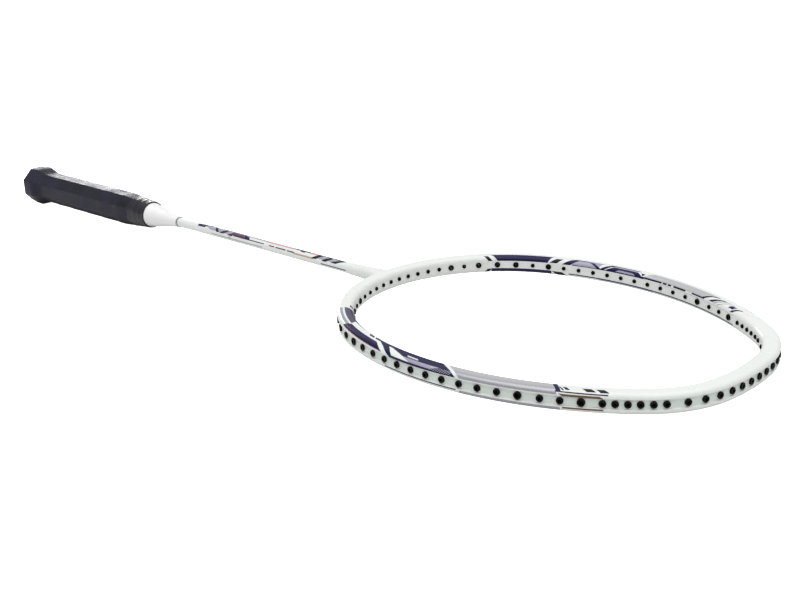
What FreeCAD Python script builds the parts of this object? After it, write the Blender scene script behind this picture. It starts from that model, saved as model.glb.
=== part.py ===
import FreeCAD, Part
import math
import os
import re
import Sketcher
from FreeCAD import Placement, Rotation, Vector

# Badminton racket frame, unstrung, in millimetres.
# Origin: centre of the butt's end face.  +X runs along the shaft to the tip of the
# head, +Y is the racket's left, and the string plane is Z = 0 with +Z up.

doc = FreeCAD.newDocument("racket")
dims = doc.addObject("Spreadsheet::Sheet", "Dims")

SIZES = [
    # overall
    ("total_length", 675.0, "butt face to the outermost point of the head"),
    ("hoop_length", 246.0, "hoop centreline, throat to tip"),
    ("hoop_half_width", 94.5, "hoop centreline, axis to the widest point"),
    ("tip_to_widest", 129.5, "hoop centreline, tip back to the widest point"),
    # hoop arcs, each tangent to the next; angles are of the outward normal from +X
    ("tip_radius", 140.0, "arc across the tip"),
    ("throat_radius", 88.5, "arc across the throat"),
    ("tip_arc_ends", 8.0, "degrees"),
    ("corner_arc_ends", 51.0, "degrees"),
    ("side_arc_ends", 110.0, "degrees"),
    ("shoulder_arc_ends", 145.0, "degrees"),
    # hoop tube
    ("tube_width", 9.6, "across the tube, in the string plane"),
    ("tube_height", 10.8, "along Z"),
    ("tube_wall", 1.0, "carbon wall"),
    ("groove_lip", 0.5, "flat beside the groove, before the outward corners' rounding"),
    ("inner_round", 2.8, "radius of the tube's two inward corners"),
    ("cavity_round", 1.6, "radius inside the tube"),
    ("groove_depth", 0.9, "string groove round the outside"),
    ("groove_draft", 0.35, "how far each groove side leans in"),
    ("flange_gap", 0.25, "between the widest flange and the groove's sides"),
    # string holes
    ("tip_main_pitch", 7.7, "between main holes at the tip"),
    ("tip_main_count", 6, "main holes each side of the axis at the tip"),
    ("throat_main_pitch", 7.85, "between main holes at the throat"),
    ("throat_main_count", 8, "main holes each side of the axis at the throat"),
    ("corner_end_share", 1.7, "space at either end of a corner run, in spaces of that run"),
    ("corner_count", 6, "holes in each corner run, between the mains and the crosses"),
    ("tip_to_cross", 63.9, "tip centreline to the last evenly spaced cross hole"),
    ("throat_to_cross", 31.5, "throat centreline to the first cross hole, along X"),
    ("cross_count", 16, "evenly spaced cross holes each side"),
    ("upper_cross_pitch", 8.7, "between the last cross holes under the corner, along X"),
    ("upper_cross_count", 2, "cross holes at that pitch"),
    # grommets
    ("grommet_bore", 1.7, "string hole through a single grommet"),
    ("grommet_barrel", 2.4, "outside of a single grommet's barrel"),
    ("grommet_flange", 3.6, "flange of a single grommet"),
    ("shared_bore", 2.4, "hole through a grommet that two strings share"),
    ("shared_barrel", 3.5, "outside of a shared grommet's barrel"),
    ("shared_flange", 4.1, "flange of a shared grommet"),
    ("flange_height", 1.1, "flange thickness"),
    ("flange_chamfer", 0.2, "bevel round the flange"),
    ("barrel_stand", 0.9, "barrel standing out inside the hoop"),
    ("barrel_chamfer", 0.25, "bevel at the barrel's end"),
    # shaft and joint
    ("shaft_diameter", 7.1, "carbon shaft"),
    ("shaft_wall", 1.1, "shaft wall"),
    ("shaft_in_joint", 21.0, "shaft seated in the joint"),
    ("joint_length", 29.0, "joint, its mouth to the hoop's outer face"),
    ("joint_lip", 0.4, "joint's wall round the shaft at its mouth"),
    ("joint_swell", 0.8, "how much wider the joint is half way along"),
    ("joint_width", 17.0, "joint across the hoop, along Y"),
    ("joint_step", 0.5, "hoop's top and bottom above the joint's"),
    ("pocket_depth", 4.0, "string pockets beside the joint's web"),
    ("web_wall", 0.55, "web beside the anchor between the two string pockets"),
    ("anchor_length", 15.0, "anchor pin inside the shaft"),
    ("anchor_neck", 3.0, "anchor pin through the web and the hoop's wall"),
    ("anchor_head", 5.0, "anchor head inside the hoop's tube"),
    ("anchor_head_height", 2.2, "anchor head along X"),
    # handle
    ("handle_length", 150.0, "butt face to the core's front shoulder, where the cone sits"),
    ("flare_width", 30.6, "grip across the flats at the butt"),
    ("flare_end", 10.5, "butt face to where the flare starts to narrow"),
    ("waist_start", 26.0, "butt face to where the straight grip starts"),
    ("grip_width", 23.5, "grip across the flats"),
    ("taper_before", 12.0, "shoulder back to where the grip starts to taper"),
    ("grip_over_cone", 20.0, "grip reaching over the cone's skirt"),
    ("wrap_thickness", 1.6, "grip material"),
    ("front_thickness", 0.7, "grip material at its front edge"),
    ("tape_length", 19.5, "finishing tape at the grip's front"),
    ("tape_thickness", 0.25, "finishing tape"),
    ("cap_inset", 1.0, "butt cap's edge inside the grip's"),
    ("cap_bevel", 0.6, "bevel round the butt face"),
    ("cap_thickness", 2.4, "butt cap plate"),
    ("cap_plug", 12.0, "butt cap plug diameter"),
    ("cap_plug_length", 8.0, "butt cap plug"),
    ("shaft_in_handle", 88.0, "shaft seated in the core, from its shoulder"),
    ("spigot_diameter", 13.0, "core spigot inside the cone"),
    ("spigot_length", 10.0, "core spigot"),
    # cone cap
    ("cone_diameter", 18.4, "cone at its wide end, under the grip"),
    ("cone_shows", 34.0, "grip's front edge to the cone's small end"),
    ("cone_lip", 0.35, "cone's wall round the shaft at its small end"),
    ("ring_length", 1.3, "trim ring at the cone's small end"),
    ("ring_stand", 0.1, "trim ring standing above the cone's lip"),
    # fits
    ("glue_gap", 0.05, "radial gap of every glued or pressed fit"),
    ("end_gap", 0.3, "gap at the bottom of each blind socket"),
]
for row, (alias, value, note) in enumerate(SIZES, start=1):
    dims.set("A%d" % row, alias)
    dims.set("B%d" % row, str(value))
    dims.setAlias("B%d" % row, alias)
    dims.set("C%d" % row, note)
# Places and widths that follow from the sizes above.
DERIVED = [
    ("hoop_face", "total_length - hoop_length - tube_width", "hoop's outer face at the throat"),
    ("groove_floor", "shared_flange + 2 * flange_gap", "groove's width at its bottom"),
    ("groove_mouth", "groove_floor + 2 * groove_draft", "groove's width at its mouth"),
    ("outer_round", "(tube_height - groove_mouth) / 2 - groove_lip",
     "radius of the tube's outward corners"),
    ("shaft_end", "hoop_face - joint_length + shaft_in_joint", "shaft's end in the joint"),
    ("shaft_start", "handle_length - shaft_in_handle", "shaft's end in the handle"),
    ("shaft_hole", "shaft_diameter + 2 * glue_gap", "hole the shaft is glued in"),
    ("joint_mouth", "shaft_hole + 2 * joint_lip", "joint's diameter at its mouth"),
    ("joint_height", "tube_height - 2 * joint_step", "joint at the hoop, along Z"),
    ("joint_start", "hoop_face - joint_length", "joint's mouth"),
    ("web_width", "anchor_neck + 2 * glue_gap + 2 * web_wall", "web between the pockets"),
    ("taper_start", "handle_length - taper_before", "where the grip starts to taper"),
    ("grip_front", "handle_length + grip_over_cone", "grip's front edge"),
    ("under_flare", "flare_width - 2 * wrap_thickness", "core across the flats at the flare"),
    ("under_grip", "grip_width - 2 * wrap_thickness", "core across the flats"),
    ("under_front", "cone_diameter + 2 * glue_gap", "inside of the grip at its front edge"),
    ("front_width", "under_front + 2 * front_thickness", "grip at its front edge"),
    ("cap_width", "flare_width - 2 * cap_inset", "butt cap across the flats"),
    ("cone_end", "grip_front + cone_shows", "cone's small end"),
    ("cone_mouth", "shaft_hole + 2 * cone_lip", "cone at its small end"),
    ("ring_diameter", "cone_mouth + 2 * ring_stand", "trim ring"),
    ("tape_start", "grip_front - tape_length", "finishing tape's rear edge"),
]
for row, (alias, formula, note) in enumerate(DERIVED, start=len(SIZES) + 2):
    dims.set("A%d" % row, alias)
    dims.set("B%d" % row, "=" + formula)
    dims.setAlias("B%d" % row, alias)
    dims.set("C%d" % row, note)
doc.recompute()
NAMES = [name for name, value, note in SIZES + DERIVED]
FIND_NAMES = re.compile(r"\b(" + "|".join(sorted(NAMES, key=len, reverse=True)) + r")\b")


def linked(text):
    """An expression in which every size is read from the sheet."""
    return FIND_NAMES.sub(r"Dims.\1", text)


def size(name):
    """One size from the sheet, as a number."""
    return float(dims.get(name))


def bind(obj, **expressions):
    for prop, text in expressions.items():
        obj.setExpression(prop.replace("__", "."), linked(text))


# ---------------------------------------------------------------- building blocks

def plane(body, role):
    return next(item for item in body.Origin.OriginFeatures if item.Role == role)


def sketch_on(body, role, name):
    sketch = body.newObject("Sketcher::SketchObject", name)
    sketch.AttachmentSupport = [(plane(body, role), "")]
    sketch.MapMode = "FlatFace"
    return sketch


def turned(label, profile):
    """A body turned about the racket's axis from (x, radius) corners."""
    body = doc.addObject("PartDesign::Body", label)
    body.Label = label
    sketch = sketch_on(body, "XY_Plane", label + "_profile")
    count = len(profile)
    rough = [Vector(10 * math.cos(2 * math.pi * i / count) + 30,
                    10 * math.sin(2 * math.pi * i / count) + 30, 0) for i in range(count)]
    for i in range(count):
        sketch.addGeometry(Part.LineSegment(rough[i], rough[(i + 1) % count]), False)
    for i in range(count):
        sketch.addConstraint(Sketcher.Constraint("Coincident", i, 2, (i + 1) % count, 1))
    for i, (along, radius) in enumerate(profile):
        for text, kind, axis in ((along, "DistanceX", -2), (radius, "DistanceY", -1)):
            if text == "0":
                sketch.addConstraint(Sketcher.Constraint("PointOnObject", i, 1, axis))
            else:
                at = sketch.addConstraint(Sketcher.Constraint(kind, -1, 1, i, 1, 30.0))
                sketch.setExpression("Constraints[%d]" % at, linked(text))
    turn = body.newObject("PartDesign::Revolution", label + "_turned")
    turn.Profile = sketch
    turn.ReferenceAxis = (sketch, ["H_Axis"])
    turn.Angle = 360.0
    return body


ACROSS_X = Rotation(Vector(1, 0, 0), 22.5) * Rotation(Vector(0, 1, 0), 90)


def octagon(name, along, width):
    """An eight-sided wire across X, flats facing up, down and to the sides."""
    wire = doc.addObject("Part::RegularPolygon", name)
    wire.Polygon = 8
    wire.Placement = Placement(Vector(0, 0, 0), ACROSS_X)
    bind(wire, Circumradius="(%s) / 2 / cos(22.5)" % width, Placement__Base__x=along)
    return wire


def loft(name, wires, ruled=True):
    solid = doc.addObject("Part::Loft", name)
    solid.Sections = wires
    solid.Solid = True
    solid.Ruled = ruled
    return solid


def octagon_loft(name, stations):
    return loft(name, [octagon("%s_%d" % (name, i), along, width)
                       for i, (along, width) in enumerate(stations)])


def rod(name, start, end, diameter):
    cylinder = doc.addObject("Part::Cylinder", name)
    cylinder.Placement = Placement(Vector(0, 0, 0), Rotation(Vector(0, 1, 0), 90))
    bind(cylinder, Radius="(%s) / 2" % diameter, Height="(%s) - (%s)" % (end, start),
         Placement__Base__x=start)
    return cylinder


def cut(label, base, *tools):
    for i, tool in enumerate(tools):
        result = doc.addObject("Part::Cut", label if tool is tools[-1] else "%s_%d" % (label, i))
        result.Base, result.Tool = base, tool
        base = result
    result.Label = label
    return result


def fuse(label, *shapes):
    result = doc.addObject("Part::MultiFuse", label)
    result.Shapes = list(shapes)
    result.Label = label
    return result


def coded(label, shape):
    feature = doc.addObject("Part::Feature", label)
    feature.Label = label
    feature.Shape = shape
    feature.Placement = Placement()
    return feature


# ---------------------------------------------------------------- the hoop's line

def arc_chain():
    """The left half of the hoop's centreline, tip to throat, as tangent arcs.

    Each arc is (centre x, centre y, radius, first angle, last angle), the angles
    being those of the outward normal.  The two arcs next to the widest point and
    their neighbours take the radii that meet the hoop's length and width.
    """
    a, b, c, d = (math.radians(size(name)) for name in (
        "tip_arc_ends", "corner_arc_ends", "side_arc_ends", "shoulder_arc_ends"))
    tip, throat, half = size("tip_radius"), size("throat_radius"), size("hoop_half_width")
    front = size("tip_to_widest")
    rear = size("hoop_length") - front

    def pair(m11, m12, m21, m22, v1, v2):
        det = m11 * m22 - m12 * m21
        return (v1 * m22 - m12 * v2) / det, (m11 * v2 - v1 * m21) / det

    corner, upper = pair(
        math.sin(b) - math.sin(a), 1 - math.sin(b), math.cos(a) - math.cos(b), math.cos(b),
        half - tip * math.sin(a), front - tip * (1 - math.cos(a)))
    lower, shoulder = pair(
        1 - math.sin(c), math.sin(c) - math.sin(d), -math.cos(c), math.cos(c) - math.cos(d),
        half - throat * math.sin(d), rear - throat * (1 + math.cos(d)))
    angles = [0.0, a, b, math.pi / 2, c, d, math.pi]
    radii = [tip, corner, upper, lower, shoulder, throat]
    x, y = size("total_length") - size("tube_width") / 2, 0.0
    arcs = []
    for radius, first, last in zip(radii, angles, angles[1:]):
        cx, cy = x - radius * math.cos(first), y - radius * math.sin(first)
        arcs.append((cx, cy, radius, first, last))
        x, y = cx + radius * math.cos(last), cy + radius * math.sin(last)
    return arcs


ARCS = arc_chain()


def normal_where(axis, value, from_tip=True):
    """The normal's angle at a distance along X (axis 0) or across it (axis 1)."""
    for cx, cy, radius, first, last in (ARCS if from_tip else reversed(ARCS)):
        ratio = (value - (cx, cy)[axis]) / radius
        if abs(ratio) > 1:
            continue
        angle = math.acos(ratio) if axis == 0 else math.asin(ratio)
        if axis == 1 and not from_tip:
            angle = math.pi - angle
        if first - 1e-9 <= angle <= last + 1e-9:
            return angle
    raise ValueError("no point of the hoop at %g" % value)


def further(angle, length):
    """The normal's angle after a length along the hoop from another angle."""
    for cx, cy, radius, first, last in ARCS:
        if angle < last - 1e-12:
            left = radius * (last - angle)
            if length <= left:
                return angle + length / radius
            length -= left
            angle = last
    return angle


def length_between(start, end):
    """Length along the hoop between two angles of the normal."""
    return sum(radius * max(0.0, min(end, last) - max(start, first))
               for cx, cy, radius, first, last in ARCS)


def station(angle, side):
    """Point of the centreline and outward normal there; side is +1 left, -1 right."""
    for cx, cy, radius, first, last in ARCS:
        if angle <= last + 1e-9:
            point = Vector(cx + radius * math.cos(angle), side * (cy + radius * math.sin(angle)), 0)
            return point, Vector(math.cos(angle), side * math.sin(angle), 0)


# ---------------------------------------------------------------- hoop

WIDTH, HEIGHT = size("tube_width") / 2, size("tube_height") / 2
FLOOR = WIDTH - size("groove_depth")
THROAT = size("hoop_face") + WIDTH
S45 = math.sqrt(0.5)


def contour(corners):
    """A closed wire through (u, z, radius) corners of right angles; radius 0 is sharp."""
    edges, points = [], []
    count = len(corners)
    for i, (u, z, radius) in enumerate(corners):
        here = Vector(u, 0, z)
        if not radius:
            points.append((here, here, None))
            continue
        before = Vector(corners[i - 1][0], 0, corners[i - 1][1])
        after = Vector(corners[(i + 1) % count][0], 0, corners[(i + 1) % count][1])
        back, on = (before - here).normalize(), (after - here).normalize()
        start, end = here + back * radius, here + on * radius
        middle = here + (back + on) * radius * (1 - S45)
        points.append((start, end, middle))
    for i, (start, end, middle) in enumerate(points):
        if middle is not None:
            edges.append(Part.Arc(start, middle, end).toShape())
        following = points[(i + 1) % count][0]
        if (following - end).Length > 1e-6:
            edges.append(Part.makeLine(end, following))
    return Part.Wire(edges)


def tube_section():
    mouth, bottom = size("groove_mouth") / 2, size("groove_floor") / 2
    outer, inner = size("outer_round"), size("inner_round")
    return contour([(WIDTH, mouth, 0), (WIDTH, HEIGHT, outer), (-WIDTH, HEIGHT, inner),
                    (-WIDTH, -HEIGHT, inner), (WIDTH, -HEIGHT, outer), (WIDTH, -mouth, 0),
                    (FLOOR, -bottom, 0), (FLOOR, bottom, 0)])


def cavity_section():
    wall, radius = size("tube_wall"), size("cavity_round")
    near, far, top = FLOOR - wall, -WIDTH + wall, HEIGHT - wall
    return contour([(near, top, radius), (far, top, radius), (far, -top, radius), (near, -top, radius)])


def round_the_hoop(section):
    """The section carried round every arc of both halves, as one solid."""
    parts = []
    for cx, cy, radius, first, last in ARCS:
        face = Part.Face(section)
        face.translate(Vector(radius, 0, 0))
        face.rotate(Vector(0, 0, 0), Vector(0, 0, 1), math.degrees(first))
        piece = face.revolve(Vector(0, 0, 0), Vector(0, 0, 1), math.degrees(last - first))
        piece.translate(Vector(cx, cy, 0))
        parts.append(piece)
        parts.append(piece.mirror(Vector(0, 0, 0), Vector(0, 1, 0)))
    solid = parts[0].multiFuse(parts[1:])
    return solid.Solids[0] if len(solid.Solids) == 1 else solid


def hole_list():
    """Every string hole as (run, angle), tip to throat, for one side."""
    holes = []
    for i in range(int(size("tip_main_count"))):
        holes.append(("tip", normal_where(1, size("tip_main_pitch") * (i + 0.5))))
    top, low = THROAT + size("hoop_length") - size("tip_to_cross"), THROAT + size("throat_to_cross")
    steps = int(size("cross_count")) - 1
    along = [top + i * size("upper_cross_pitch") for i in range(int(size("upper_cross_count")), 0, -1)]
    along += [top + (low - top) * i / steps for i in range(steps + 1)]
    crosses = [("cross", normal_where(0, x)) for x in along]
    count, end_share = int(size("corner_count")), size("corner_end_share")
    pitch = length_between(holes[-1][1], crosses[0][1]) / (count - 1 + 2 * end_share)
    angle = further(holes[-1][1], pitch * end_share)
    for i in range(count):
        holes.append(("corner", angle))
        angle = further(angle, pitch)
    holes += crosses
    for i in range(int(size("throat_main_count")) - 1, -1, -1):
        holes.append(("throat", normal_where(1, size("throat_main_pitch") * (i + 0.5), False)))
    return holes


# Holes two strings share, counted from the tip: their grommets are the larger ones.
SHARED = (13, 16, 27, 29, 30, 31, 33)
HOLES = hole_list()
INSIDE = -WIDTH - size("barrel_stand")
TOP = FLOOR + size("flange_height")


def on_normal(shape, angle, side):
    """A shape made along +Z, put on the hoop's outward normal at a station."""
    point, normal = station(angle, side)
    shape = shape.copy()
    shape.Placement = Placement(point, Rotation(Vector(0, 0, 1), normal))
    return shape


def drill(shared):
    barrel = size("shared_barrel" if shared else "grommet_barrel")
    radius = barrel / 2 + size("glue_gap")
    return Part.makeCylinder(radius, 2 * WIDTH + 2, Vector(0, 0, -WIDTH - 1))


def grommet(shared):
    kind = "shared" if shared else "grommet"
    bore, barrel, flange = (size(kind + part) / 2 for part in ("_bore", "_barrel", "_flange"))
    bevel, tip = size("flange_chamfer"), size("barrel_chamfer")
    outline = [(bore, INSIDE), (barrel - tip, INSIDE), (barrel, INSIDE + tip), (barrel, FLOOR),
               (flange, FLOOR), (flange, TOP - bevel), (flange - bevel, TOP), (bore, TOP)]
    corners = [Vector(r, 0, z) for r, z in outline]
    return Part.Face(Part.makePolygon(corners + corners[:1])).revolve(
        Vector(0, 0, 0), Vector(0, 0, 1), 360)


blank = coded("hoop_blank", round_the_hoop(tube_section()))
cavity = round_the_hoop(cavity_section())
drills = [on_normal(drill(number in SHARED), angle, side)
          for number, (run, angle) in enumerate(HOLES, start=1) for side in (1, -1)]
anchor_hole = Part.makeCylinder(size("anchor_neck") / 2 + size("glue_gap"), WIDTH + 1,
                                Vector(THROAT - WIDTH - 1, 0, 0), Vector(1, 0, 0))
hoop = coded("frame_hoop", blank.Shape.cut(cavity).cut(Part.makeCompound(drills + [anchor_hole])))
if hoop.Shape.ShapeType == "Compound" and len(hoop.Shape.Solids) == 1:
    hoop.Shape = hoop.Shape.Solids[0]

# Grommets: one node for each run, left and right apart where the run is.
ONE = {False: grommet(False), True: grommet(True)}


def grommet_group(label, sides, chosen):
    solids = [on_normal(ONE[number in SHARED], angle, side)
              for number, (run, angle) in enumerate(HOLES, start=1) if chosen(number, run)
              for side in sides]
    return coded(label, Part.makeCompound(solids))


grommets = [
    grommet_group("grommets_tip_mains", (1, -1), lambda number, run: run == "tip"),
    grommet_group("grommets_throat_mains", (1, -1),
                  lambda number, run: run == "throat" and number not in SHARED),
]
for word, side in (("left", 1), ("right", -1)):
    grommets += [
        grommet_group("grommets_corner_" + word, (side,), lambda number, run: run == "corner"),
        grommet_group("grommets_cross_" + word, (side,),
                      lambda number, run: run == "cross" and number not in SHARED),
        grommet_group("grommets_shared_" + word, (side,), lambda number, run: number in SHARED),
    ]

# ---------------------------------------------------------------- shaft and joint

shaft = doc.addObject("PartDesign::Body", "shaft_tube")
shaft.Label = "shaft_tube"
ring = sketch_on(shaft, "YZ_Plane", "shaft_ring")
for text in ("shaft_diameter / 2", "shaft_diameter / 2 - shaft_wall"):
    at = ring.addGeometry(Part.Circle(Vector(0, 0, 0), Vector(0, 0, 1), 3.0), False)
    ring.addConstraint(Sketcher.Constraint("Coincident", at, 3, -1, 1))
    at = ring.addConstraint(Sketcher.Constraint("Radius", at, 3.0))
    ring.setExpression("Constraints[%d]" % at, linked(text))
ring.setExpression("AttachmentOffset.Base.z", linked("shaft_start"))
pad = shaft.newObject("PartDesign::Pad", "shaft_pad")
pad.Profile = ring
bind(pad, Length="shaft_end - shaft_start")


def oval(name, along, width, height):
    """An ellipse across X; the wider size lies along Y."""
    wire = doc.addObject("Part::Ellipse", name)
    wire.Placement = Placement(Vector(0, 0, 0), Rotation(Vector(0, 1, 0), Vector(0, 0, 1),
                                                         Vector(1, 0, 0), "XYZ"))
    bind(wire, MajorRadius="(%s) / 2" % width, MinorRadius="(%s) / 2" % height,
         Placement__Base__x=along)
    return wire


joint_blank = loft("joint_blank", [
    oval("joint_oval_0", "joint_start", "joint_mouth", "joint_mouth"),
    oval("joint_oval_1", "joint_start + joint_length * 0.25", "joint_mouth + 0.1", "joint_mouth"),
    oval("joint_oval_2", "joint_start + joint_length * 0.55",
         "joint_mouth + joint_swell + 0.4", "joint_mouth + joint_swell"),
    oval("joint_oval_3", "joint_start + joint_length * 0.85",
         "(joint_mouth + joint_swell + joint_width) / 2 - 0.6",
         "(joint_mouth + joint_swell + joint_height) / 2"),
    oval("joint_oval_4", "hoop_face + tube_width / 4", "joint_width", "joint_height"),
], ruled=False)
pockets = []
for word, start in (("left", "web_width / 2"), ("right", "-web_width / 2 - joint_width")):
    pocket = doc.addObject("Part::Box", "pocket_" + word)
    bind(pocket, Length="pocket_depth + tube_width", Width="joint_width", Height="groove_floor",
         Placement__Base__x="hoop_face - pocket_depth", Placement__Base__y=start,
         Placement__Base__z="-groove_floor / 2")
    pockets.append(pocket)
joint = cut("t_joint", joint_blank, blank, pockets[0], pockets[1],
            rod("joint_socket", "joint_start - 1", "shaft_end", "shaft_hole"),
            rod("joint_pin_hole", "shaft_end - 1", "hoop_face + tube_width",
                "anchor_neck + 2 * glue_gap"))

pin_radius = "(shaft_diameter / 2 - shaft_wall - glue_gap)"
head_start = "(hoop_face + groove_depth + tube_wall + 2 * glue_gap)"
anchor = turned("t_anchor", [
    ("shaft_end - anchor_length", "0"), ("shaft_end - anchor_length", pin_radius),
    ("shaft_end", pin_radius), ("shaft_end", "anchor_neck / 2"), (head_start, "anchor_neck / 2"),
    (head_start, "anchor_head / 2"), (head_start + " + anchor_head_height", "anchor_head / 2"),
    (head_start + " + anchor_head_height", "0")])

# ---------------------------------------------------------------- handle

at_shoulder = ("under_grip + (under_front - under_grip) * taper_before"
               " / (taper_before + grip_over_cone)")
core_blank = octagon_loft("core_blank", [
    ("cap_thickness", "under_flare"), ("flare_end", "under_flare"), ("waist_start", "under_grip"),
    ("taper_start", "under_grip"), ("handle_length", at_shoulder)])
core = cut("handle_core",
           fuse("core_with_spigot", core_blank,
                rod("core_spigot", "handle_length - 1", "handle_length + spigot_length",
                    "spigot_diameter")),
           rod("core_bore", "shaft_start - end_gap", "handle_length + spigot_length + 1",
               "shaft_hole"),
           rod("core_plug_hole", "cap_thickness - 1",
               "cap_thickness + cap_plug_length + end_gap", "cap_plug + 2 * glue_gap"))

cap_blank = octagon_loft("cap_blank", [
    ("0", "cap_width - 2 * cap_bevel"), ("cap_bevel", "cap_width"), ("cap_thickness", "cap_width")])
butt_cap = fuse("butt_cap", cap_blank,
                rod("cap_plug_rod", "cap_thickness - 1", "cap_thickness + cap_plug_length", "cap_plug"))

grip_outside = octagon_loft("grip_outside", [
    ("cap_thickness", "flare_width"), ("flare_end", "flare_width"), ("waist_start", "grip_width"),
    ("taper_start", "grip_width"), ("grip_front", "front_width")])
grip_inside = octagon_loft("grip_inside", [
    ("cap_thickness", "under_flare"), ("flare_end", "under_flare"), ("waist_start", "under_grip"),
    ("taper_start", "under_grip"), ("grip_front", "under_front")])
grip = cut("grip_wrap", grip_outside, grip_inside)

tape_back = ("(front_width + (grip_width - front_width) * tape_length"
             " / (taper_before + grip_over_cone))")
tape = cut("finishing_tape",
           octagon_loft("tape_outside", [("tape_start", tape_back + " + 2 * tape_thickness"),
                                         ("grip_front", "front_width + 2 * tape_thickness")]),
           octagon_loft("tape_inside", [("tape_start", tape_back), ("grip_front", "front_width")]))

# ---------------------------------------------------------------- cone cap and ring

spigot_fit = "spigot_diameter / 2 + glue_gap"
socket_end = "handle_length + spigot_length + end_gap"
cone = turned("cone_cap", [
    ("handle_length", spigot_fit), ("handle_length", "cone_diameter / 2"),
    ("grip_front + 0.5", "cone_diameter / 2"),
    ("grip_front + (cone_end - grip_front) * 0.55",
     "cone_mouth / 2 + (cone_diameter - cone_mouth) / 2 * 0.38"),
    ("cone_end", "cone_mouth / 2"), ("cone_end", "shaft_hole / 2"), (socket_end, "shaft_hole / 2"),
    (socket_end, spigot_fit)])
trim = turned("cone_ring", [
    ("cone_end", "shaft_hole / 2"), ("cone_end", "ring_diameter / 2"),
    ("cone_end + ring_length", "ring_diameter / 2"), ("cone_end + ring_length", "shaft_hole / 2")])

# ---------------------------------------------------------------- check and write

PIECES = [hoop, joint, anchor, shaft, core, butt_cap, grip, tape, cone, trim] + grommets
doc.recompute()
for obj in doc.Objects:
    if "Invalid" in obj.State or "Error" in obj.State:
        raise RuntimeError("%s failed: %s" % (obj.Name, obj.State))
for piece in PIECES:
    shape = piece.Shape
    if shape.isNull() or not shape.isValid() or not shape.Solids:
        raise RuntimeError("%s has no sound shape" % piece.Label)
os.makedirs("parts", exist_ok=True)
for piece in PIECES:
    piece.Shape.exportStep("parts/%s.step" % piece.Label)
    print("%-24s solids %2d  volume %10.1f mm3" % (piece.Label, len(piece.Shape.Solids),
                                                 piece.Shape.Volume))
print("string holes:", 2 * len(HOLES))
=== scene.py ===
import math
from collections import namedtuple

import bpy
from mathutils import Euler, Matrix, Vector


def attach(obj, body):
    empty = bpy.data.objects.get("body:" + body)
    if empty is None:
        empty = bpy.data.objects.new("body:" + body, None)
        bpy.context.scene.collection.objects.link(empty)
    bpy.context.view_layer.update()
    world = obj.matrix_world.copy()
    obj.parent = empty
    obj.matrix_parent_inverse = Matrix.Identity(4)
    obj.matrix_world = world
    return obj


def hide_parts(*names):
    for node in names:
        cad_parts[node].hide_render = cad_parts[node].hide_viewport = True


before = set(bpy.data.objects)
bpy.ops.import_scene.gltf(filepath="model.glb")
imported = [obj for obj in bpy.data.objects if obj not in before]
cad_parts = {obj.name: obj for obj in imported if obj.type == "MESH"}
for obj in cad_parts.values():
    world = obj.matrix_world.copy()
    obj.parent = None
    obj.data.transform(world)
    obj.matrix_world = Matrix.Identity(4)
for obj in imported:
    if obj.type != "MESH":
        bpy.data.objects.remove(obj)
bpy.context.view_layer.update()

# A badminton racket, unstrung. The handle lies along +X from the butt face, and the head is at the far end.
# Lengths are in millimetres until they reach Blender, which has metres.
MM = 0.001

# ---------------------------------------------------------------- sizes that the looks follow

TOTAL_LENGTH = 675.0
HOOP_LENGTH = 246.0
HOOP_HALF_WIDTH = 94.5
TIP_TO_WIDEST = 129.5
TIP_RADIUS, THROAT_RADIUS = 140.0, 88.5
ARC_ENDS = (8.0, 51.0, 90.0, 110.0, 145.0)
TUBE_WIDTH = 9.6
SHAFT_RADIUS = 3.55
SHAFT_SHOWS = (204.0, 392.0)

# The wrapped handle from the butt face: where its shape changes, its widths across the flats, and the
# wrap's thickness along the grip and at its front.
GRIP_BACK, FLARE_END, WAIST_START, TAPER_START, GRIP_FRONT = 2.4, 10.5, 26.0, 138.0, 170.0
FLARE_WIDTH, GRIP_WIDTH, FRONT_WIDTH = 30.2, 23.1, 19.5
WRAP_THICKNESS, FRONT_THICKNESS = 1.5, 0.45
TAPE_START, TAPE_OVERHANG, TAPE_THICKNESS = 150.5, 0.1, 0.22

# Each turn of the wrap and of the tape: its pitch, its step over the last turn, and the share of the turn
# over which it steps up.
WRAP_PITCH, WRAP_STEP, WRAP_RISE = 23.0, 0.2, 0.035
TAPE_PITCH, TAPE_STEP, TAPE_RISE = 6.2, 0.13, 0.12

# The eight sides turn round towards the cone, and partly towards the butt.
CONE_ROUND_FROM, CONE_ROUND_BY = 142.0, 166.0
BUTT_ROUND_FROM, BUTT_ROUND_BY, BUTT_ROUNDING = 18.0, 4.0, 0.6
ROUND_OVER_FLATS = 1.025
GRIP_EDGE_ROUND, TAPE_EDGE_ROUND, EDGE_SEGMENTS = 2.6, 2.2, 4
SMOOTH_ANGLE = 40

# ---------------------------------------------------------------- node trees written as sums

VECTOR, NUMBER, COLOUR = "NodeSocketVector", "NodeSocketFloat", "NodeSocketColor"


def plug(tree, value, socket):
    """Links a Field to a socket, or sets the socket's own value."""
    if isinstance(value, Field):
        tree.links.new(value.socket, socket)
    else:
        socket.default_value = value


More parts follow.
